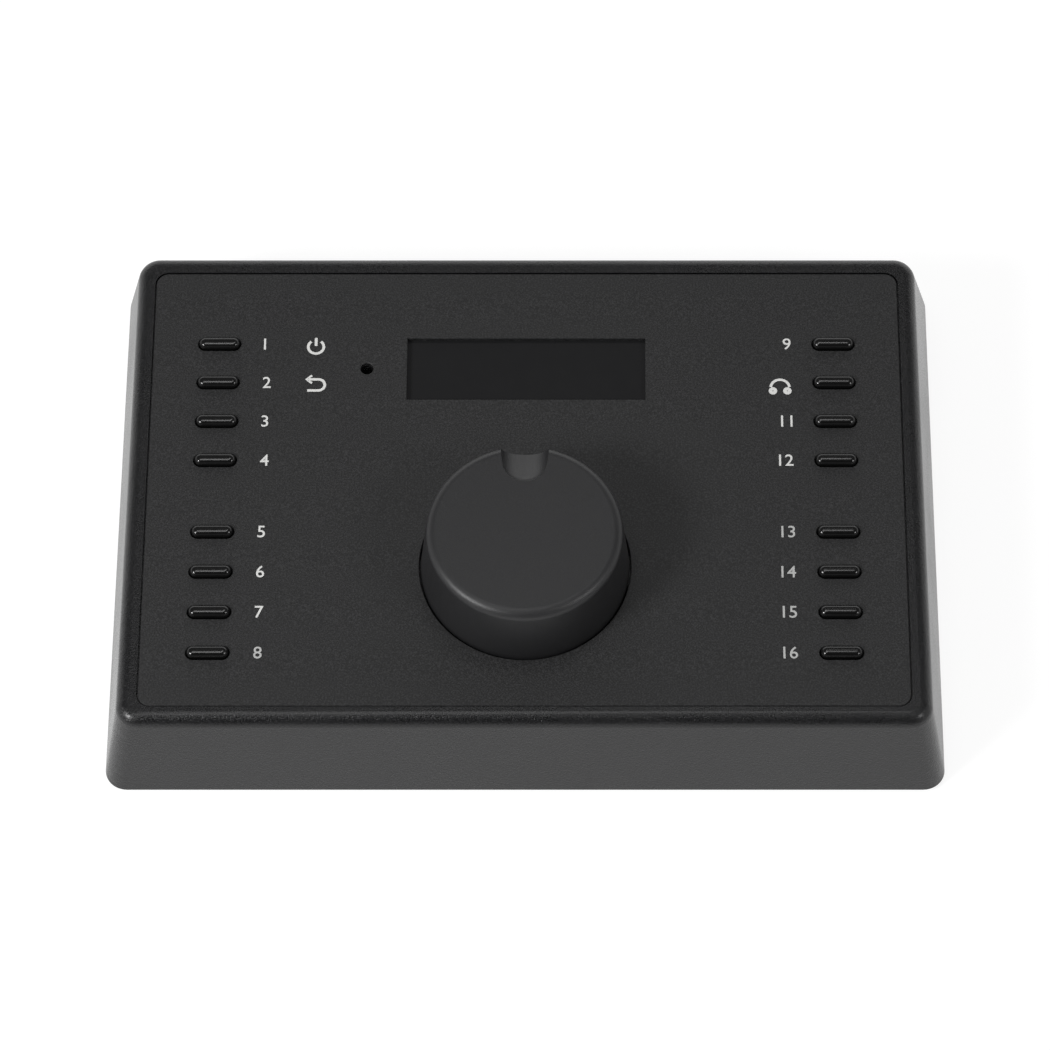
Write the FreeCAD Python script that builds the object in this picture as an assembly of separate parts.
import FreeCAD, Part
import math
import os
from FreeCAD import Placement, Rotation, Vector

# Desktop studio monitor controller: a low wedge-shaped housing with a flush front panel,
# two columns of keys, a display window and a large push-and-turn level knob.
# Millimetres. +Z is up, +X is to the user's right, the user sits on the -Y side.
# The origin is the middle of the footprint, on the surface that the feet stand on.

# Front panel, which sets the size of the housing round it
PANEL_WIDTH = 168.0
PANEL_DEPTH = 110.0
PANEL_T = 1.2
PANEL_CORNER_R = 2.8
PANEL_EDGE = 0.15
PANEL_GAP = 0.25
PANEL_SINK = 0.1

# Housing: flat rims round the panel, then the rounded top edge, then the leaning walls
RIM_FRONT = 1.25
RIM_SIDE = 1.98
RIM_REAR = 2.1
FRONT_HEIGHT = 24.3
TOP_SLOPE = 1.6
SIDE_LEAN = 9.5
FRONT_LEAN = 9.5
REAR_LEAN = 19.0
CORNER_R = 5.0
TOP_EDGE_R = 2.9
WALL = 2.4
DECK_T = 2.0
STAND_HEIGHT = 1.5

# Keys and their switches: the front group keeps to the panel's front edge, the rear group to its rear
KEY_INSET = 14.85
KEY_FRONT_Y = 12.9
KEY_REAR_INSET = 18.66
KEY_PITCH = 10.04
KEYS_PER_GROUP = 4
KEY_LENGTH = 9.2
KEY_WIDTH = 2.9
KEY_PROUD = 1.3
KEY_CROWN_R = 1.2
KEY_GAP = 0.2
KEY_TRAVEL = 0.5
FLANGE_MARGIN = 1.0
FLANGE_T = 0.8
FLANGE_REST_GAP = 0.2
STEM_LENGTH = 3.4
STEM_WIDTH = 2.6
BOARD_DROP = 12.0
SWITCH_SIZE = 6.0
SWITCH_HEIGHT = 3.5
PLUNGER_R = 1.7
PLUNGER_GAP = 0.12
PLUNGER_PROUD = 1.5
PLUNGER_SEAT = 1.0
PLUNGER_ROOM = 0.3

# Level knob
KNOB_Y = 34.5
WELL_R = 23.3
KNOB_GAP = 0.4
KNOB_HEIGHT = 16.5
KNOB_TOP_R = 21.6
KNOB_EDGE_R = 2.2
KNOB_SKIRT = 1.4
KNOB_WALL = 2.2
KNOB_ROOF = 3.6
KNOB_RIBS = 6
KNOB_RIB_T = 1.2
HUB_R = 8.0
HUB_BASE = 4.0
WELL_DEPTH = 3.2
WELL_UNDERCUT = 0.6
FLOOR_T = 2.0
DISH_R = 4.9
DISH_DEPTH = 3.2
DISH_Y = 16.9
DISH_FALL = 23.0
DISH_WALL = 1.8

# Push-and-turn encoder
SHAFT_R = 3.0
SHAFT_FLAT = 1.5
SHAFT_TOP = 12.4
SHAFT_GAP = 0.05
COLLAR_R = 4.2
COLLAR_T = 1.15
BUSHING_R = 3.5
BUSHING_TOP = 1.0
BUSHING_GAP = 0.1
ENCODER_WIDTH = 12.4
ENCODER_DEPTH = 13.2
CHAMBER_R = 4.7
CHAMBER_ROOF = 2.8
CHAMBER_FLOOR = 0.4
SLIDER_R = 4.5
SLIDER_T = 1.2
SLIDER_ROOM = 0.9
NUT_ACROSS_FLATS = 10.0
NUT_T = 2.0
WASHER_R = 5.5
WASHER_T = 0.5
INSERT_R = 5.5
INSERT_BASE = 2.0
INSERT_CAP = 0.6
CLIP_R = 6.4
CLIP_T = 1.2
CLIP_MOUTH = 3.0

# Display
WINDOW_WIDTH = 53.6
WINDOW_DEPTH = 16.0
WINDOW_INSET = 25.05
LENS_LAP = 1.8
LENS_GAP = 0.2
LENS_T = 1.5
SCREEN_INSET = 1.2
SCREEN_GAP = 0.1
SCREEN_T = 1.8
DISPLAY_BOARD_WIDTH = 60.0
DISPLAY_BOARD_DEPTH = 20.0
DISPLAY_BOARD_T = 1.2
HEADER_LENGTH = 40.0
HEADER_WIDTH = 2.5

# Microphone, beside the display window
MIC_STEP = 9.0
MIC_INSET = 25.0
MIC_HOLE_R = 1.45
MIC_R = 3.0
MIC_T = 2.2
BOOT_R = 4.0

# Circuit boards and fasteners
BOARD_T = 1.6
BOARD_MARGIN = 7.25
BOARD_FRONT_Y = 3.0
BOARD_JACK_GAP = 1.4
NOTCH_GAP = 7.1
SCREW_R = 1.2
SCREW_HEAD_R = 2.3
SCREW_HEAD_T = 1.5
SCREW_LENGTH = 5.0
THREAD_GAP = 0.05
SCREW_HOLE_GAP = 0.3
BOARD_BOSS_R = 3.0
BOARD_BOSS_STEP = 13.15
BOARD_BOSS_FRONT_Y = 8.0
BOARD_BOSS_REAR_Y = 62.0
BASE_SCREW_R = 1.5
BASE_SCREW_HEAD_R = 2.9
BASE_SCREW_HEAD_T = 1.0
BASE_SCREW_LENGTH = 9.0
BASE_BOSS_R = 3.6
BASE_BOSS_SIDE_INSET = 11.5
BASE_BOSS_FRONT_INSET = 14.7
BASE_BOSS_REAR_INSET = 21.7
BOSS_GAP = 0.1
RIB_T = 1.4
RIB_HEIGHT = 3.0
RIB_STEP = 2.65

# Base plate and feet
BASE_T = 1.5
BASE_INSET = 0.3
BASE_GAP = 0.3
FOOT_PAD_R = 6.0
FOOT_PAD_SIDE_INSET = 22.5
FOOT_PAD_END_INSET = 23.7

# Rear bay, its plate and the board behind it
REAR_PLATE_T = 1.5
BAY_INSET = 12.0
BAY_LOW = 3.0
BAY_HIGH = 20.6
REAR_PLATE_LAP = 3.0
REAR_PLATE_GAP = 0.15
SPACER_HEIGHT = 2.0
SPACER_R = 2.6
IO_SIDE_INSET = 3.0
IO_DEPTH = 21.75
IO_TAB_GAP = 1.05
IO_REAR_GAP = 0.3
IO_SCREW_SIDE_INSET = 5.0
IO_SCREW_INSET = 4.0

# Rear connectors: the first three stand in from the left end, the others from the right
PORT_GAP = 0.2
PORT_PROUD = 0.6
USB_STEP = 10.0
USB_WIDTH = 8.94
USB_HEIGHT = 3.26
USB_WALL = 0.3
USB_DEPTH = 7.6
TONGUE_WIDTH = 6.7
TONGUE_T = 0.7
NETWORK_STEP = 5.53
NETWORK_SPACE = 1.5
NETWORK_WIDTH = 16.0
NETWORK_HEIGHT = 13.4
NETWORK_DEPTH = 15.8
SOCKET_WIDTH = 11.8
SOCKET_HEIGHT = 6.9
SOCKET_DEPTH = 12.0
SOCKET_SILL = 4.3
LATCH_WIDTH = 6.2
LATCH_HEIGHT = 1.6
KEYWAY_WIDTH = 3.4
KEYWAY_HEIGHT = 1.2
MIC_JACK_STEP = 16.5
MIC_JACK_WIDTH = 7.0
MIC_JACK_HEIGHT = 6.4
MIC_JACK_DEPTH = 13.0
MIC_JACK_NOSE_R = 2.9
MIC_JACK_BORE_R = 1.8
PHONES_STEP = 6.0
PHONES_WIDTH = 16.0
PHONES_HEIGHT = 12.0
PHONES_DEPTH = 25.5
PHONES_NOSE_R = 4.6
PHONES_BORE_R = 3.2
PHONES_BORE_DEPTH = 27.0
PHONES_NUT_R = 6.6
PHONES_NUT_T = 2.0
PHONES_NOSE_LENGTH = 3.2
STACK_LENGTH = 20.0
STACK_WIDTH = 4.6
STACK_INSET = 3.0

# Length that reaches past the whole unit, for cutters
REACH = 200.0


def tan_of(degrees):
    return math.tan(math.radians(degrees))


def cos_of(degrees):
    return math.cos(math.radians(degrees))


# The rounded edge takes a strip off each side of the top, wider where the wall is steeper
FRONT_SETBACK = TOP_EDGE_R * tan_of((90.0 - FRONT_LEAN + TOP_SLOPE) / 2.0)
SIDE_SETBACK = TOP_EDGE_R * tan_of((90.0 - SIDE_LEAN) / 2.0)
REAR_SETBACK = TOP_EDGE_R * tan_of((90.0 - REAR_LEAN - TOP_SLOPE) / 2.0)

# Footprint
TOP_DEPTH = FRONT_SETBACK + RIM_FRONT + PANEL_DEPTH + RIM_REAR + REAR_SETBACK
TOP_RUN = TOP_DEPTH * cos_of(TOP_SLOPE)
REAR_HEIGHT = FRONT_HEIGHT + TOP_RUN * tan_of(TOP_SLOPE)
FOOT_DEPTH = FRONT_HEIGHT * tan_of(FRONT_LEAN) + TOP_RUN + REAR_HEIGHT * tan_of(REAR_LEAN)
FOOT_WIDTH = PANEL_WIDTH + 2.0 * (RIM_SIDE + SIDE_SETBACK + FRONT_HEIGHT * tan_of(SIDE_LEAN))
FOOT_Z = STAND_HEIGHT

# The panel's own frame
TOP_EDGE_Y = -FOOT_DEPTH / 2.0 + FRONT_HEIGHT * tan_of(FRONT_LEAN)
PANEL_ORIGIN_Y = TOP_EDGE_Y + (FRONT_SETBACK + RIM_FRONT) * cos_of(TOP_SLOPE)
PANEL_ORIGIN_Z = FOOT_Z + FRONT_HEIGHT + (PANEL_ORIGIN_Y - TOP_EDGE_Y) * tan_of(TOP_SLOPE)

# Places on the panel
KEY_X = PANEL_WIDTH / 2.0 - KEY_INSET
WINDOW_Y = PANEL_DEPTH - WINDOW_INSET
MIC_X = -WINDOW_WIDTH / 2.0 - MIC_STEP
MIC_Y = PANEL_DEPTH - MIC_INSET

# Levels
DECK_TOP = -PANEL_SINK - PANEL_T
DECK_UNDER = DECK_TOP - DECK_T
BOARD_TOP = -BOARD_DROP
BOARD_UNDER = BOARD_TOP - BOARD_T
BASE_LOW = FOOT_Z + BASE_INSET
BASE_TOP = BASE_LOW + BASE_T
IO_LOW = BASE_TOP + SPACER_HEIGHT
IO_TOP = IO_LOW + BOARD_T
WELL_FLOOR = -WELL_DEPTH
WELL_UNDER = WELL_FLOOR - FLOOR_T


def deck_height(y, local_z):
    """World height of a plane that lies local_z above the housing's top, at depth y."""
    along = (y - PANEL_ORIGIN_Y) * tan_of(TOP_SLOPE)
    return PANEL_ORIGIN_Z + along + local_z / cos_of(TOP_SLOPE)


CAVITY_REAR_FOOT = FOOT_DEPTH / 2.0 - WALL / cos_of(REAR_LEAN)
CAVITY_REAR_Y = CAVITY_REAR_FOOT - (deck_height(FOOT_DEPTH / 2.0, DECK_UNDER) - FOOT_Z) * tan_of(REAR_LEAN)
REAR_FACE_Y = CAVITY_REAR_Y - REAR_PLATE_GAP
REAR_PLATE_Y = REAR_FACE_Y - REAR_PLATE_T
PORT_MOUTH_Y = REAR_FACE_Y + PORT_PROUD
PHONES_FRONT_Y = REAR_PLATE_Y - PHONES_DEPTH

# Rear board and connectors
BAY_HALF_WIDTH = PANEL_WIDTH / 2.0 - BAY_INSET
IO_HALF_WIDTH = BAY_HALF_WIDTH - IO_SIDE_INSET
IO_REAR_Y = REAR_PLATE_Y - IO_REAR_GAP
IO_FRONT_Y = IO_REAR_Y - IO_DEPTH
IO_SCREW_X = IO_HALF_WIDTH - IO_SCREW_SIDE_INSET
USB_X = USB_STEP - IO_SCREW_X
FIRST_NETWORK_X = USB_X + USB_WIDTH / 2.0 + NETWORK_STEP + NETWORK_WIDTH / 2.0
NETWORK_X = (FIRST_NETWORK_X, FIRST_NETWORK_X + NETWORK_WIDTH + NETWORK_SPACE)
PHONES_X = IO_SCREW_X - PHONES_STEP - PHONES_WIDTH / 2.0
MIC_JACK_X = PHONES_X - PHONES_WIDTH / 2.0 - MIC_JACK_STEP - MIC_JACK_WIDTH / 2.0

# Main board, which ends in front of the tall jacks
BOARD_HALF_WIDTH = KEY_X + BOARD_MARGIN


def panel_y(y, local_z):
    """Depth in the panel's frame of a point that lies local_z above the housing's top."""
    return (y - PANEL_ORIGIN_Y + local_z * math.sin(math.radians(TOP_SLOPE))) / cos_of(TOP_SLOPE)


BOARD_REAR_Y = panel_y(PORT_MOUTH_Y - NETWORK_DEPTH - BOARD_JACK_GAP, BOARD_TOP)
BOARD_NOTCH_Y = panel_y(PHONES_FRONT_Y - NOTCH_GAP, BOARD_TOP)
BOARD_BOSS_X = KEY_X - BOARD_BOSS_STEP


def box(x0, x1, y0, y1, z0, z1):
    """Block between two corners."""
    return Part.makeBox(x1 - x0, y1 - y0, z1 - z0, Vector(x0, y0, z0))


def slab(cx, cy, length, depth, z0, z1):
    """Block centred on a plan point."""
    return box(cx - length / 2.0, cx + length / 2.0, cy - depth / 2.0, cy + depth / 2.0, z0, z1)


def disc(cx, cy, radius, z0, z1):
    """Upright cylinder between two heights."""
    return Part.makeCylinder(radius, z1 - z0, Vector(cx, cy, z0))


def rod_y(cx, cz, radius, y0, y1):
    """Cylinder that lies along Y."""
    return Part.makeCylinder(radius, y1 - y0, Vector(cx, y0, cz), Vector(0, 1, 0))


def rounded_plate(x0, x1, y0, y1, z0, z1, radius):
    """Flat plate with rounded upright corners."""
    plate = box(x0, x1, y0, y1, z0, z1)
    upright = [edge for edge in plate.Edges if abs(edge.tangentAt(edge.FirstParameter).z) > 0.9]
    return plate.makeFillet(radius, upright)


def stadium(cx, cy, length, width, z0, z1):
    """Long key outline with round ends, along X."""
    radius = width / 2.0
    half = length / 2.0 - radius
    left = Vector(cx - half, cy, z0)
    right = Vector(cx + half, cy, z0)
    up = Vector(0, radius, 0)
    side = Vector(radius, 0, 0)
    edges = [
        Part.LineSegment(left - up, right - up).toShape(),
        Part.Arc(right - up, right + side, right + up).toShape(),
        Part.LineSegment(right + up, left + up).toShape(),
        Part.Arc(left + up, left - side, left - up).toShape(),
    ]
    return Part.Face(Part.Wire(edges)).extrude(Vector(0, 0, z1 - z0))


def on_panel(shape):
    """Moves a shape from the panel's own frame to its sloped place on the housing."""
    turned = shape.copy()
    place = Placement(Vector(0, PANEL_ORIGIN_Y, PANEL_ORIGIN_Z), Rotation(Vector(1, 0, 0), TOP_SLOPE))
    turned.Placement = place.multiply(turned.Placement)
    return turned


def rectangle(x0, x1, y0, y1, z):
    corners = [Vector(x0, y0, z), Vector(x1, y0, z), Vector(x1, y1, z), Vector(x0, y1, z)]
    return Part.makePolygon(corners + corners[:1])


def drafted_block(inset, corner_r, low, top_local):
    """Block with four leaning walls, set in from the housing's outside, under the sloped top."""
    side = inset / cos_of(SIDE_LEAN)
    front = inset / cos_of(FRONT_LEAN)
    rear = inset / cos_of(REAR_LEAN)

    def outline(z):
        rise = z - FOOT_Z
        half = FOOT_WIDTH / 2.0 - side - rise * tan_of(SIDE_LEAN)
        y0 = -FOOT_DEPTH / 2.0 + front + rise * tan_of(FRONT_LEAN)
        y1 = FOOT_DEPTH / 2.0 - rear - rise * tan_of(REAR_LEAN)
        return rectangle(-half, half, y0, y1, z)

    high = deck_height(FOOT_DEPTH / 2.0, 0.0) + FRONT_HEIGHT
    block = Part.makeLoft([outline(low), outline(high)], True, True)
    upright = [edge for edge in block.Edges if edge.BoundBox.ZLength > (high - low) / 2.0]
    block = block.makeFillet(corner_r, upright)
    above = on_panel(box(-REACH, REACH, -REACH, REACH, top_local, REACH))
    return block.cut(above)


def top_edges(block):
    """Edges round the sloped top face of a drafted block."""
    top = max(block.Faces, key=lambda face: face.CenterOfMass.z)
    return top.Edges


def key_rows():
    """Depths of the key rows on the panel, rear row first."""
    rear = [PANEL_DEPTH - KEY_REAR_INSET - KEY_PITCH * i for i in range(KEYS_PER_GROUP)]
    front = [KEY_FRONT_Y + KEY_PITCH * i for i in reversed(range(KEYS_PER_GROUP))]
    return rear + front


def key_places():
    """Side name, number from the top of the column, and place of each key."""
    places = []
    for side, x in (("left", -KEY_X), ("right", KEY_X)):
        for number, y in enumerate(key_rows(), start=1):
            places.append((side, number, x, y))
    return places


def board_boss_places():
    return [(sign * BOARD_BOSS_X, y) for sign in (-1, 1) for y in (BOARD_BOSS_FRONT_Y, BOARD_BOSS_REAR_Y)]


def base_boss_places():
    x = FOOT_WIDTH / 2.0 - BASE_BOSS_SIDE_INSET
    front = BASE_BOSS_FRONT_INSET - FOOT_DEPTH / 2.0
    rear = FOOT_DEPTH / 2.0 - BASE_BOSS_REAR_INSET
    return [(sign * x, y) for sign in (-1, 1) for y in (front, rear)]


def io_screw_places():
    front = IO_FRONT_Y + IO_SCREW_INSET
    rear = IO_REAR_Y - IO_SCREW_INSET
    return [(sign * IO_SCREW_X, y) for sign in (-1, 1) for y in (front, rear)]


def knob_axis_solid(radius, z0, z1):
    """Cylinder on the knob's axis, in the panel's frame."""
    return disc(0.0, KNOB_Y, radius, z0, z1)


def make_housing():
    """Moulded top shell: leaning walls, rounded top edge, panel recess, key slots, well and bosses."""
    shell = drafted_block(0.0, CORNER_R, FOOT_Z, 0.0)
    shell = shell.makeFillet(TOP_EDGE_R, top_edges(shell))
    cavity = drafted_block(WALL, CORNER_R - WALL, FOOT_Z - WALL, DECK_UNDER)
    cavity = cavity.cut(box(-REACH, REACH, CAVITY_REAR_Y, REACH, -REACH, REACH))
    inside = [make_well_boss()] + make_board_bosses() + make_base_bosses() + make_ribs()
    for piece in inside:
        cavity = cavity.cut(piece)
    shell = shell.cut(cavity)
    for cutter in housing_cutters():
        shell = shell.cut(cutter)
    return shell


def make_well_boss():
    """Thick disc under the deck that the knob's well is sunk into."""
    well_outer = WELL_R + WELL_UNDERCUT + WALL
    return on_panel(knob_axis_solid(well_outer, WELL_UNDER, DECK_UNDER))


def make_board_bosses():
    return [on_panel(disc(x, y, BOARD_BOSS_R, BOARD_TOP, DECK_UNDER)) for x, y in board_boss_places()]


def make_base_bosses():
    bosses = []
    for x, y in base_boss_places():
        bosses.append(disc(x, y, BASE_BOSS_R, BASE_TOP + BOSS_GAP, deck_height(y, DECK_UNDER) + DECK_T))
    return bosses


def make_ribs():
    """Ribs that stiffen the deck, above the board's front edge and behind the display."""
    half = BOARD_HALF_WIDTH
    low = DECK_UNDER - RIB_HEIGHT
    behind_display = WINDOW_Y + DISPLAY_BOARD_DEPTH / 2.0 + RIB_STEP + RIB_T / 2.0
    ribs = []
    for y in (BOARD_FRONT_Y, behind_display):
        ribs.append(on_panel(box(-half, half, y - RIB_T / 2.0, y + RIB_T / 2.0, low, DECK_UNDER)))
    return ribs


def housing_cutters():
    """Everything that is cut out of the moulded shell."""
    recess = rounded_plate(
        -PANEL_WIDTH / 2.0 - PANEL_GAP, PANEL_WIDTH / 2.0 + PANEL_GAP,
        -PANEL_GAP, PANEL_DEPTH + PANEL_GAP, DECK_TOP, REACH, PANEL_CORNER_R + PANEL_GAP,
    )
    well = knob_axis_solid(WELL_R + WELL_UNDERCUT, WELL_FLOOR, REACH)
    bushing = knob_axis_solid(BUSHING_R + BUSHING_GAP, WELL_UNDER - FLOOR_T, REACH)
    lens = slab(
        0.0, WINDOW_Y, WINDOW_WIDTH + 2.0 * (LENS_LAP + LENS_GAP),
        WINDOW_DEPTH + 2.0 * (LENS_LAP + LENS_GAP), DECK_UNDER - DECK_T, REACH,
    )
    mic = disc(MIC_X, MIC_Y, MIC_HOLE_R, DECK_UNDER - DECK_T, REACH)
    cutters = [recess, well, bushing, lens, mic]
    for side, number, x, y in key_places():
        cutters.append(key_slot(x, y, DECK_UNDER - DECK_T, REACH))
    for x, y in board_boss_places():
        cutters.append(disc(x, y, SCREW_R + THREAD_GAP, BOARD_TOP - BOARD_T, BOARD_TOP + SCREW_LENGTH))
    cutters = [on_panel(cutter) for cutter in cutters]
    for x, y in base_boss_places():
        cutters.append(disc(x, y, BASE_SCREW_R + THREAD_GAP, BASE_LOW, BASE_LOW + BASE_SCREW_LENGTH))
    cutters.append(box(
        -BAY_HALF_WIDTH, BAY_HALF_WIDTH, CAVITY_REAR_Y - WALL, REACH,
        FOOT_Z + BAY_LOW, FOOT_Z + BAY_HIGH,
    ))
    return cutters


def key_slot(x, y, z0, z1):
    return stadium(x, y, KEY_LENGTH + 2.0 * KEY_GAP, KEY_WIDTH + 2.0 * KEY_GAP, z0, z1)


def make_front_panel():
    """Flat plate with square window, round well, mic hole and sixteen slots."""
    low = DECK_TOP
    plate = rounded_plate(
        -PANEL_WIDTH / 2.0, PANEL_WIDTH / 2.0, 0.0, PANEL_DEPTH, low, low + PANEL_T, PANEL_CORNER_R,
    )
    plate = plate.cut(knob_axis_solid(WELL_R, low, REACH))
    plate = plate.cut(slab(0.0, WINDOW_Y, WINDOW_WIDTH, WINDOW_DEPTH, low, REACH))
    plate = plate.cut(disc(MIC_X, MIC_Y, MIC_HOLE_R, low, REACH))
    for side, number, x, y in key_places():
        plate = plate.cut(key_slot(x, y, low, REACH))
    face = max(plate.Faces, key=lambda one: one.CenterOfMass.z)
    return on_panel(plate.makeChamfer(PANEL_EDGE, face.Edges))


def make_key(x, y):
    """Key cap: round-ended crown, retaining flange under the deck, stem down to the switch."""
    flange_top = DECK_UNDER - FLANGE_REST_GAP
    flange_low = flange_top - FLANGE_T
    crown = stadium(x, y, KEY_LENGTH, KEY_WIDTH, flange_low, KEY_PROUD)
    rim = [edge for edge in crown.Edges if edge.BoundBox.ZMin > KEY_PROUD - FLANGE_T]
    crown = crown.makeFillet(KEY_CROWN_R, rim)
    flange = slab(x, y, KEY_LENGTH + 2.0 * FLANGE_MARGIN, KEY_WIDTH + 2.0 * FLANGE_MARGIN,
                  flange_low, flange_top)
    stem_low = BOARD_TOP + SWITCH_HEIGHT + PLUNGER_PROUD
    stem = slab(x, y, STEM_LENGTH, STEM_WIDTH, stem_low, flange_low)
    return on_panel(crown.fuse([flange, stem]).removeSplitter())


def make_plunger(x, y):
    """Switch plunger, pressed by the key's stem."""
    top = BOARD_TOP + SWITCH_HEIGHT + PLUNGER_PROUD
    low = BOARD_TOP + SWITCH_HEIGHT - PLUNGER_SEAT
    return on_panel(disc(x, y, PLUNGER_R, low, top))


def make_switches():
    """Sixteen square push-switch bodies, each with a pocket for its plunger."""
    bodies = []
    for side, number, x, y in key_places():
        body = slab(x, y, SWITCH_SIZE, SWITCH_SIZE, BOARD_TOP, BOARD_TOP + SWITCH_HEIGHT)
        pocket_low = BOARD_TOP + SWITCH_HEIGHT - PLUNGER_SEAT - KEY_TRAVEL - PLUNGER_ROOM
        pocket = disc(x, y, PLUNGER_R + PLUNGER_GAP, pocket_low, BOARD_TOP + SWITCH_HEIGHT)
        bodies.append(on_panel(body.cut(pocket)))
    return Part.makeCompound(bodies)


def make_control_board():
    """Main board, parallel to the deck, notched at the rear for the tall headphone jack."""
    board = box(-BOARD_HALF_WIDTH, BOARD_HALF_WIDTH, BOARD_FRONT_Y, BOARD_REAR_Y, BOARD_UNDER, BOARD_TOP)
    notch_half = PHONES_WIDTH / 2.0 + WALL
    board = board.cut(box(PHONES_X - notch_half, PHONES_X + notch_half, BOARD_NOTCH_Y, REACH,
                          BOARD_UNDER, BOARD_TOP))
    for x, y in board_boss_places():
        board = board.cut(disc(x, y, SCREW_R + SCREW_HOLE_GAP, BOARD_UNDER, BOARD_TOP))
    return on_panel(board)


def make_screw(x, y, head_low, radius, head_r, head_t, length):
    """Pan-head screw that points up, its head's underside seat at the top of the head."""
    head = disc(x, y, head_r, head_low, head_low + head_t)
    shank = disc(x, y, radius, head_low + head_t, head_low + head_t + length)
    return head.fuse(shank)


def make_board_screws():
    """Screws that hold the two circuit boards."""
    screws = []
    reach = SCREW_LENGTH + BOARD_T - SCREW_HOLE_GAP
    for x, y in board_boss_places():
        screws.append(on_panel(make_screw(x, y, BOARD_UNDER - SCREW_HEAD_T, SCREW_R, SCREW_HEAD_R,
                                          SCREW_HEAD_T, reach)))
    for x, y in io_screw_places():
        head = disc(x, y, SCREW_HEAD_R, IO_TOP, IO_TOP + SCREW_HEAD_T)
        shank = disc(x, y, SCREW_R, BASE_LOW + SCREW_HOLE_GAP, IO_TOP)
        screws.append(head.fuse(shank))
    return Part.makeCompound(screws)


def base_outline(gap, z0, z1):
    """Plate that fills the housing's open bottom, short of the walls by a gap."""
    rise = z1 - FOOT_Z
    half = FOOT_WIDTH / 2.0 - WALL / cos_of(SIDE_LEAN) - rise * tan_of(SIDE_LEAN) - gap
    front = -FOOT_DEPTH / 2.0 + WALL / cos_of(FRONT_LEAN) + rise * tan_of(FRONT_LEAN) + gap
    return rounded_plate(-half, half, front, CAVITY_REAR_Y - gap, z0, z1, CORNER_R - WALL)


def make_base_plate():
    """Sheet steel bottom with countersunk screw holes and pressed spacers for the rear board."""
    plate = base_outline(BASE_GAP, BASE_LOW, BASE_TOP)
    for x, y in io_screw_places():
        plate = plate.fuse(disc(x, y, SPACER_R, BASE_TOP - BASE_T / 2.0, IO_LOW))
        plate = plate.cut(disc(x, y, SCREW_R + THREAD_GAP, BASE_LOW - BASE_T, IO_LOW))
    for x, y in base_boss_places():
        plate = plate.cut(disc(x, y, BASE_SCREW_R + SCREW_HOLE_GAP, BASE_LOW, BASE_TOP))
        plate = plate.cut(countersink(x, y, SCREW_HOLE_GAP))
    return plate


def countersink(x, y, gap):
    """Cone under a flat-head screw, wide at the plate's underside."""
    place = Vector(x, y, BASE_LOW)
    return Part.makeCone(BASE_SCREW_HEAD_R + gap, BASE_SCREW_R + gap, BASE_SCREW_HEAD_T, place)


def make_base_screws():
    """Flat-head screws that hold the base plate to the housing."""
    screws = []
    tip = BASE_LOW + BASE_SCREW_LENGTH - BOSS_GAP
    for x, y in base_boss_places():
        shank = disc(x, y, BASE_SCREW_R, BASE_LOW + BASE_SCREW_HEAD_T, tip)
        screws.append(countersink(x, y, 0.0).fuse(shank))
    return Part.makeCompound(screws)


def make_feet():
    """Four round rubber pads under the base plate."""
    side = FOOT_WIDTH / 2.0 - FOOT_PAD_SIDE_INSET
    end = FOOT_DEPTH / 2.0 - FOOT_PAD_END_INSET
    places = [(x, y) for x in (-side, side) for y in (-end, end)]
    return Part.makeCompound([disc(x, y, FOOT_PAD_R, 0.0, BASE_LOW) for x, y in places])


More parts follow.
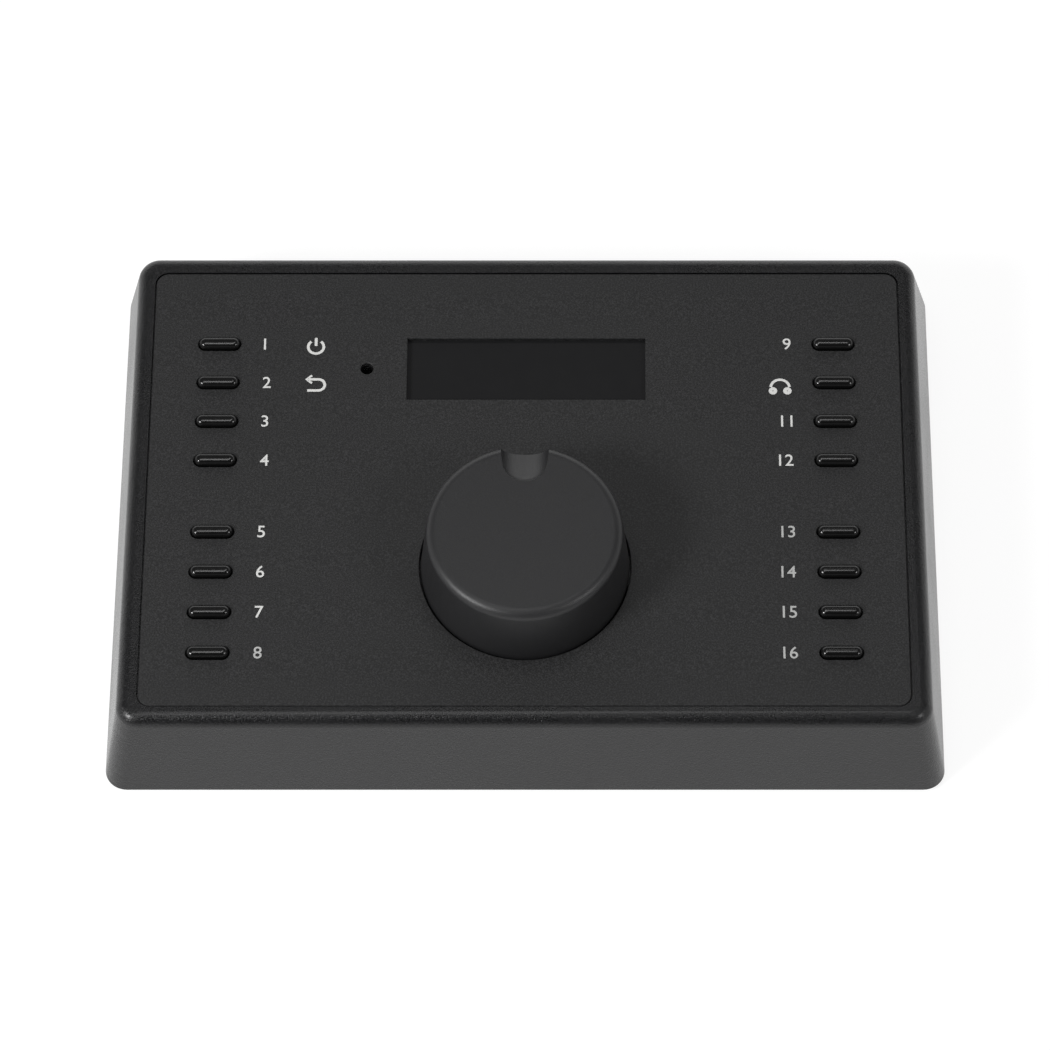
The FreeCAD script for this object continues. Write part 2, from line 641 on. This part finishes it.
def make_knob_shell():
    """Level knob: tapered drum with a rounded rim, finger dish, hub and radial ribs inside."""
    base_r = WELL_R - KNOB_GAP
    side_top = KNOB_HEIGHT - KNOB_EDGE_R
    roof = KNOB_HEIGHT - KNOB_ROOF
    inner_base = base_r - KNOB_WALL
    inner_top = KNOB_TOP_R - KNOB_WALL
    arc_mid = KNOB_EDGE_R * math.sqrt(0.5)
    axis_top = Vector(0, 0, KNOB_HEIGHT)
    face_edge = Vector(KNOB_TOP_R - KNOB_EDGE_R, 0, KNOB_HEIGHT)
    rim_mid = Vector(KNOB_TOP_R - KNOB_EDGE_R + arc_mid, 0, side_top + arc_mid)
    rim_low = Vector(KNOB_TOP_R, 0, side_top)
    panel_level = Vector(base_r, 0, 0)
    skirt = Vector(base_r, 0, -KNOB_SKIRT)
    inner_skirt = Vector(inner_base, 0, -KNOB_SKIRT)
    inner_roof = Vector(inner_top, 0, roof)
    hub_roof = Vector(HUB_R, 0, roof)
    hub_low = Vector(HUB_R, 0, HUB_BASE)
    bore_low = Vector(INSERT_R, 0, HUB_BASE)
    bore_top = Vector(INSERT_R, 0, roof)
    axis_low = Vector(0, 0, roof)
    edges = [
        Part.LineSegment(axis_top, face_edge).toShape(),
        Part.Arc(face_edge, rim_mid, rim_low).toShape(),
        Part.LineSegment(rim_low, panel_level).toShape(),
        Part.LineSegment(panel_level, skirt).toShape(),
        Part.LineSegment(skirt, inner_skirt).toShape(),
        Part.LineSegment(inner_skirt, inner_roof).toShape(),
        Part.LineSegment(inner_roof, hub_roof).toShape(),
        Part.LineSegment(hub_roof, hub_low).toShape(),
        Part.LineSegment(hub_low, bore_low).toShape(),
        Part.LineSegment(bore_low, bore_top).toShape(),
        Part.LineSegment(bore_top, axis_low).toShape(),
        Part.LineSegment(axis_low, axis_top).toShape(),
    ]
    drum = Part.Face(Part.Wire(edges)).revolve(Vector(0, 0, 0), Vector(0, 0, 1), 360)
    for i in range(KNOB_RIBS):
        rib = box(HUB_R - KNOB_RIB_T / 2.0, inner_top, -KNOB_RIB_T / 2.0, KNOB_RIB_T / 2.0,
                  HUB_BASE, roof + KNOB_RIB_T / 2.0)
        rib.rotate(Vector(0, 0, 0), Vector(0, 0, 1), (i + 0.5) * 360.0 / KNOB_RIBS)
        drum = drum.fuse(rib)
    solid = Part.makeCone(base_r, KNOB_TOP_R, side_top)
    backing = finger_scoop(DISH_WALL).common(solid)
    backing = backing.cut(disc(0.0, 0.0, HUB_R, 0.0, KNOB_HEIGHT))
    drum = drum.fuse(backing).cut(finger_scoop(0.0)).removeSplitter()
    drum.translate(Vector(0, KNOB_Y, 0))
    return on_panel(drum)


def finger_scoop(wall):
    """Ball-ended channel for a fingertip that falls towards the rim, swollen by a wall."""
    ball_r = (DISH_R ** 2 + DISH_DEPTH ** 2) / (2.0 * DISH_DEPTH)
    centre = Vector(0, DISH_Y, KNOB_HEIGHT - DISH_DEPTH + ball_r)
    fall = math.radians(DISH_FALL)
    outward = Vector(0, math.cos(fall), -math.sin(fall))
    ball = Part.makeSphere(ball_r + wall, centre)
    return ball.fuse(Part.makeCylinder(ball_r + wall, WELL_R, centre, outward))


def d_section(radius, flat, z0, z1):
    """Round bar with one flat, on the knob's axis."""
    bar = knob_axis_solid(radius, z0, z1)
    return bar.cut(box(-REACH, REACH, KNOB_Y + flat, KNOB_Y + REACH, z0, z1))


def make_knob_insert():
    """Turned brass bush pressed into the knob's hub, with a bore that fits the shaft's flat."""
    top = SHAFT_TOP + INSERT_CAP / 2.0
    bush = knob_axis_solid(INSERT_R, INSERT_BASE, KNOB_HEIGHT - KNOB_ROOF)
    return on_panel(bush.cut(d_section(SHAFT_R, SHAFT_FLAT, INSERT_BASE, top)))


def make_knob_clip():
    """Open spring ring round the bush."""
    low = HUB_BASE - CLIP_T
    ring = knob_axis_solid(CLIP_R, low, HUB_BASE).cut(knob_axis_solid(INSERT_R, low, HUB_BASE))
    mouth = box(-CLIP_MOUTH / 2.0, CLIP_MOUTH / 2.0, KNOB_Y, KNOB_Y + CLIP_R, low, HUB_BASE)
    return on_panel(ring.cut(mouth))


SLIDER_LOW = BOARD_TOP + CHAMBER_FLOOR + SLIDER_ROOM
SLIDER_TOP = SLIDER_LOW + SLIDER_T
SHAFT_LOW = SLIDER_TOP + SHAFT_GAP


def make_encoder_shaft():
    """Steel shaft: collar at the bottom, round through the bushing, flat in the knob."""
    collar = knob_axis_solid(COLLAR_R, SHAFT_LOW, SHAFT_LOW + COLLAR_T)
    stem = knob_axis_solid(SHAFT_R, SHAFT_LOW, INSERT_BASE)
    top = d_section(SHAFT_R, SHAFT_FLAT, INSERT_BASE, SHAFT_TOP)
    return on_panel(collar.fuse([stem, top]).removeSplitter())


def make_encoder_slider():
    """Disc under the shaft that presses the encoder's push switch."""
    return on_panel(knob_axis_solid(SLIDER_R, SLIDER_LOW, SLIDER_TOP))


def make_encoder_body():
    """Encoder housing on the board, with its threaded bushing through the well's floor."""
    body = slab(0.0, KNOB_Y, ENCODER_WIDTH, ENCODER_DEPTH, BOARD_TOP, WELL_UNDER)
    body = body.fuse(knob_axis_solid(BUSHING_R, WELL_UNDER, BUSHING_TOP))
    chamber = knob_axis_solid(CHAMBER_R, BOARD_TOP + CHAMBER_FLOOR, WELL_UNDER - CHAMBER_ROOF)
    body = body.cut(chamber)
    bore = knob_axis_solid(SHAFT_R + SHAFT_GAP, BOARD_TOP + CHAMBER_FLOOR, BUSHING_TOP)
    return on_panel(body.cut(bore))


def make_encoder_nut():
    """Hexagon nut and washer that clamp the encoder to the well's floor."""
    radius = NUT_ACROSS_FLATS / math.sqrt(3.0)
    low = WELL_FLOOR + WASHER_T
    turns = [math.radians(60.0 * i) for i in range(7)]
    corners = [Vector(radius * math.cos(a), KNOB_Y + radius * math.sin(a), low) for a in turns]
    corners[-1] = corners[0]
    nut = Part.Face(Part.makePolygon(corners)).extrude(Vector(0, 0, NUT_T))
    nut = nut.cut(knob_axis_solid(BUSHING_R + THREAD_GAP, low, low + NUT_T))
    washer = knob_axis_solid(WASHER_R, WELL_FLOOR, low)
    washer = washer.cut(knob_axis_solid(BUSHING_R + BUSHING_GAP, WELL_FLOOR, low))
    return Part.makeCompound([on_panel(nut), on_panel(washer)])


LENS_LOW = DECK_TOP - LENS_T
SCREEN_TOP = LENS_LOW - SCREEN_GAP
SCREEN_LOW = SCREEN_TOP - SCREEN_T
DISPLAY_BOARD_LOW = SCREEN_LOW - DISPLAY_BOARD_T


def make_display_window():
    """Smoked acrylic window, held against the panel's underside."""
    return on_panel(slab(0.0, WINDOW_Y, WINDOW_WIDTH + 2.0 * LENS_LAP, WINDOW_DEPTH + 2.0 * LENS_LAP,
                         LENS_LOW, DECK_TOP))


def make_display_screen():
    """Glass display cell behind the window."""
    return on_panel(slab(0.0, WINDOW_Y, WINDOW_WIDTH + 2.0 * SCREEN_INSET, WINDOW_DEPTH + 2.0 * SCREEN_INSET,
                         SCREEN_LOW, SCREEN_TOP))


def make_display_board():
    """Small board behind the display cell, standing on its pin header."""
    board = slab(0.0, WINDOW_Y, DISPLAY_BOARD_WIDTH, DISPLAY_BOARD_DEPTH, DISPLAY_BOARD_LOW, SCREEN_LOW)
    header_y = WINDOW_Y - DISPLAY_BOARD_DEPTH / 2.0 + HEADER_WIDTH
    header = slab(0.0, header_y, HEADER_LENGTH, HEADER_WIDTH, BOARD_TOP, DISPLAY_BOARD_LOW)
    return on_panel(board.fuse(header))


def make_mic_capsule():
    return on_panel(disc(MIC_X, MIC_Y, MIC_R, BOARD_TOP, BOARD_TOP + MIC_T))


def make_mic_boot():
    """Rubber sleeve that seals the capsule to the hole in the deck."""
    low = BOARD_TOP + MIC_T
    sleeve = disc(MIC_X, MIC_Y, BOOT_R, low, DECK_UNDER)
    return on_panel(sleeve.cut(disc(MIC_X, MIC_Y, MIC_HOLE_R, low, DECK_UNDER)))


def make_rear_plate():
    """Upright metal plate in the rear bay, cut out for each connector."""
    half = BAY_HALF_WIDTH + REAR_PLATE_LAP
    high = FOOT_Z + BAY_HIGH + REAR_PLATE_LAP
    plate = box(-half, half, REAR_PLATE_Y, REAR_FACE_Y, BASE_TOP, high)
    for cutter in connector_outlines(PORT_GAP):
        plate = plate.cut(cutter)
    return plate


def usb_outline(gap, y0, y1):
    """Round-ended port outline, along Y."""
    centre = IO_TOP + USB_HEIGHT / 2.0
    outline = stadium(0.0, 0.0, USB_WIDTH + 2.0 * gap, USB_HEIGHT + 2.0 * gap, 0.0, y1 - y0)
    outline.rotate(Vector(0, 0, 0), Vector(1, 0, 0), -90.0)
    outline.translate(Vector(USB_X, y0, centre))
    return outline


MIC_JACK_Z = IO_TOP + MIC_JACK_HEIGHT / 2.0
PHONES_Z = IO_TOP + PHONES_HEIGHT / 2.0


def connector_outlines(gap):
    """Cut-outs in the rear plate."""
    y0, y1 = REAR_PLATE_Y - REAR_PLATE_T, REAR_FACE_Y + REAR_PLATE_T
    cutters = [usb_outline(gap, y0, y1)]
    for x in NETWORK_X:
        half = NETWORK_WIDTH / 2.0 + gap
        cutters.append(box(x - half, x + half, y0, y1, IO_TOP - gap, IO_TOP + NETWORK_HEIGHT + gap))
    cutters.append(rod_y(MIC_JACK_X, MIC_JACK_Z, MIC_JACK_NOSE_R + gap, y0, y1))
    cutters.append(rod_y(PHONES_X, PHONES_Z, PHONES_NOSE_R + gap, y0, y1))
    return cutters


def make_usb_port():
    """Drawn steel shell of the power port, with its contact tongue."""
    y0 = PORT_MOUTH_Y - USB_DEPTH
    shell = usb_outline(0.0, y0, PORT_MOUTH_Y)
    shell = shell.cut(usb_outline(-USB_WALL, y0 + USB_WALL, PORT_MOUTH_Y))
    centre = IO_TOP + USB_HEIGHT / 2.0
    tongue = box(USB_X - TONGUE_WIDTH / 2.0, USB_X + TONGUE_WIDTH / 2.0, y0 + USB_WALL / 2.0,
                 REAR_FACE_Y, centre - TONGUE_T / 2.0, centre + TONGUE_T / 2.0)
    return shell.fuse(tongue)


def make_network_jacks():
    """Two eight-way sockets with their latch notch and keyway."""
    low = IO_TOP + SOCKET_SILL
    notch_low = low - LATCH_HEIGHT
    keyway_low = notch_low - KEYWAY_HEIGHT
    y0 = PORT_MOUTH_Y - NETWORK_DEPTH
    socket_y = PORT_MOUTH_Y - SOCKET_DEPTH
    hollows = [(SOCKET_WIDTH, low, low + SOCKET_HEIGHT), (LATCH_WIDTH, notch_low, low),
               (KEYWAY_WIDTH, keyway_low, low)]
    jacks = []
    for x in NETWORK_X:
        half = NETWORK_WIDTH / 2.0
        body = box(x - half, x + half, y0, PORT_MOUTH_Y, IO_TOP, IO_TOP + NETWORK_HEIGHT)
        for width, z0, z1 in hollows:
            body = body.cut(box(x - width / 2.0, x + width / 2.0, socket_y, PORT_MOUTH_Y, z0, z1))
        jacks.append(body)
    return Part.makeCompound(jacks)


def make_mic_jack():
    """Small round jack for a measuring microphone."""
    half = MIC_JACK_WIDTH / 2.0
    body = box(MIC_JACK_X - half, MIC_JACK_X + half, REAR_PLATE_Y - MIC_JACK_DEPTH, REAR_PLATE_Y,
               IO_TOP, IO_TOP + MIC_JACK_HEIGHT)
    nose = rod_y(MIC_JACK_X, MIC_JACK_Z, MIC_JACK_NOSE_R, REAR_PLATE_Y - REAR_PLATE_T, PORT_MOUTH_Y)
    bore = rod_y(MIC_JACK_X, MIC_JACK_Z, MIC_JACK_BORE_R, PORT_MOUTH_Y - MIC_JACK_DEPTH, PORT_MOUTH_Y)
    return body.fuse(nose).cut(bore)


def make_headphone_jack():
    """Large headphone jack with its threaded nose."""
    half = PHONES_WIDTH / 2.0
    body = box(PHONES_X - half, PHONES_X + half, PHONES_FRONT_Y, REAR_PLATE_Y,
               IO_TOP, IO_TOP + PHONES_HEIGHT)
    mouth = REAR_FACE_Y + PHONES_NOSE_LENGTH
    body = body.fuse(rod_y(PHONES_X, PHONES_Z, PHONES_NOSE_R, REAR_PLATE_Y - REAR_PLATE_T, mouth))
    bore = rod_y(PHONES_X, PHONES_Z, PHONES_BORE_R, mouth - PHONES_BORE_DEPTH, mouth)
    return body.cut(bore)


def make_headphone_nut():
    """Round knurled nut on the headphone jack's nose."""
    ring = rod_y(PHONES_X, PHONES_Z, PHONES_NUT_R, REAR_FACE_Y, REAR_FACE_Y + PHONES_NUT_T)
    hole = rod_y(PHONES_X, PHONES_Z, PHONES_NOSE_R + THREAD_GAP, REAR_FACE_Y, REAR_FACE_Y + PHONES_NUT_T)
    return ring.cut(hole)


def make_io_board():
    """Rear board on the base plate's spacers, with a tab forward under the headphone jack."""
    board = box(-IO_HALF_WIDTH, IO_HALF_WIDTH, IO_FRONT_Y, IO_REAR_Y, IO_LOW, IO_TOP)
    half = PHONES_WIDTH / 2.0
    tab_y = PHONES_FRONT_Y - IO_TAB_GAP
    board = board.fuse(box(PHONES_X - half, PHONES_X + half, tab_y, IO_REAR_Y, IO_LOW, IO_TOP))
    board = board.removeSplitter()
    for x, y in io_screw_places():
        board = board.cut(disc(x, y, SCREW_R + SCREW_HOLE_GAP, IO_LOW, IO_TOP))
    return board


def make_board_connector():
    """Stacking connector between the two boards."""
    top = on_panel(box(-REACH, REACH, -REACH, REACH, BOARD_UNDER, REACH))
    block = slab(0.0, IO_FRONT_Y + STACK_INSET, STACK_LENGTH, STACK_WIDTH, IO_TOP, FOOT_Z + FRONT_HEIGHT)
    return block.cut(top)


def build_nodes():
    """Every sub-part by its node name."""
    nodes = {
        "housing": make_housing(),
        "front_panel": make_front_panel(),
        "display_window": make_display_window(),
        "display_screen": make_display_screen(),
        "display_board": make_display_board(),
        "control_board": make_control_board(),
        "key_switches": make_switches(),
        "board_screws": make_board_screws(),
        "mic_capsule": make_mic_capsule(),
        "mic_boot": make_mic_boot(),
        "encoder_body": make_encoder_body(),
        "encoder_nut": make_encoder_nut(),
        "encoder_slider": make_encoder_slider(),
        "encoder_shaft": make_encoder_shaft(),
        "knob_shell": make_knob_shell(),
        "knob_insert": make_knob_insert(),
        "knob_clip": make_knob_clip(),
        "base_plate": make_base_plate(),
        "base_screws": make_base_screws(),
        "rubber_feet": make_feet(),
        "io_board": make_io_board(),
        "board_connector": make_board_connector(),
        "rear_plate": make_rear_plate(),
        "usb_port": make_usb_port(),
        "network_jacks": make_network_jacks(),
        "mic_jack": make_mic_jack(),
        "headphone_jack": make_headphone_jack(),
        "headphone_nut": make_headphone_nut(),
    }
    for side, number, x, y in key_places():
        nodes["key_%s_%d" % (side, number)] = make_key(x, y)
        nodes["plunger_%s_%d" % (side, number)] = make_plunger(x, y)
    return nodes


def main():
    os.makedirs("parts", exist_ok=True)
    for name, shape in build_nodes().items():
        shape.exportStep(os.path.join("parts", name + ".step"))
        print(name, len(shape.Solids), shape.isValid(), round(shape.Volume, 1))


main()
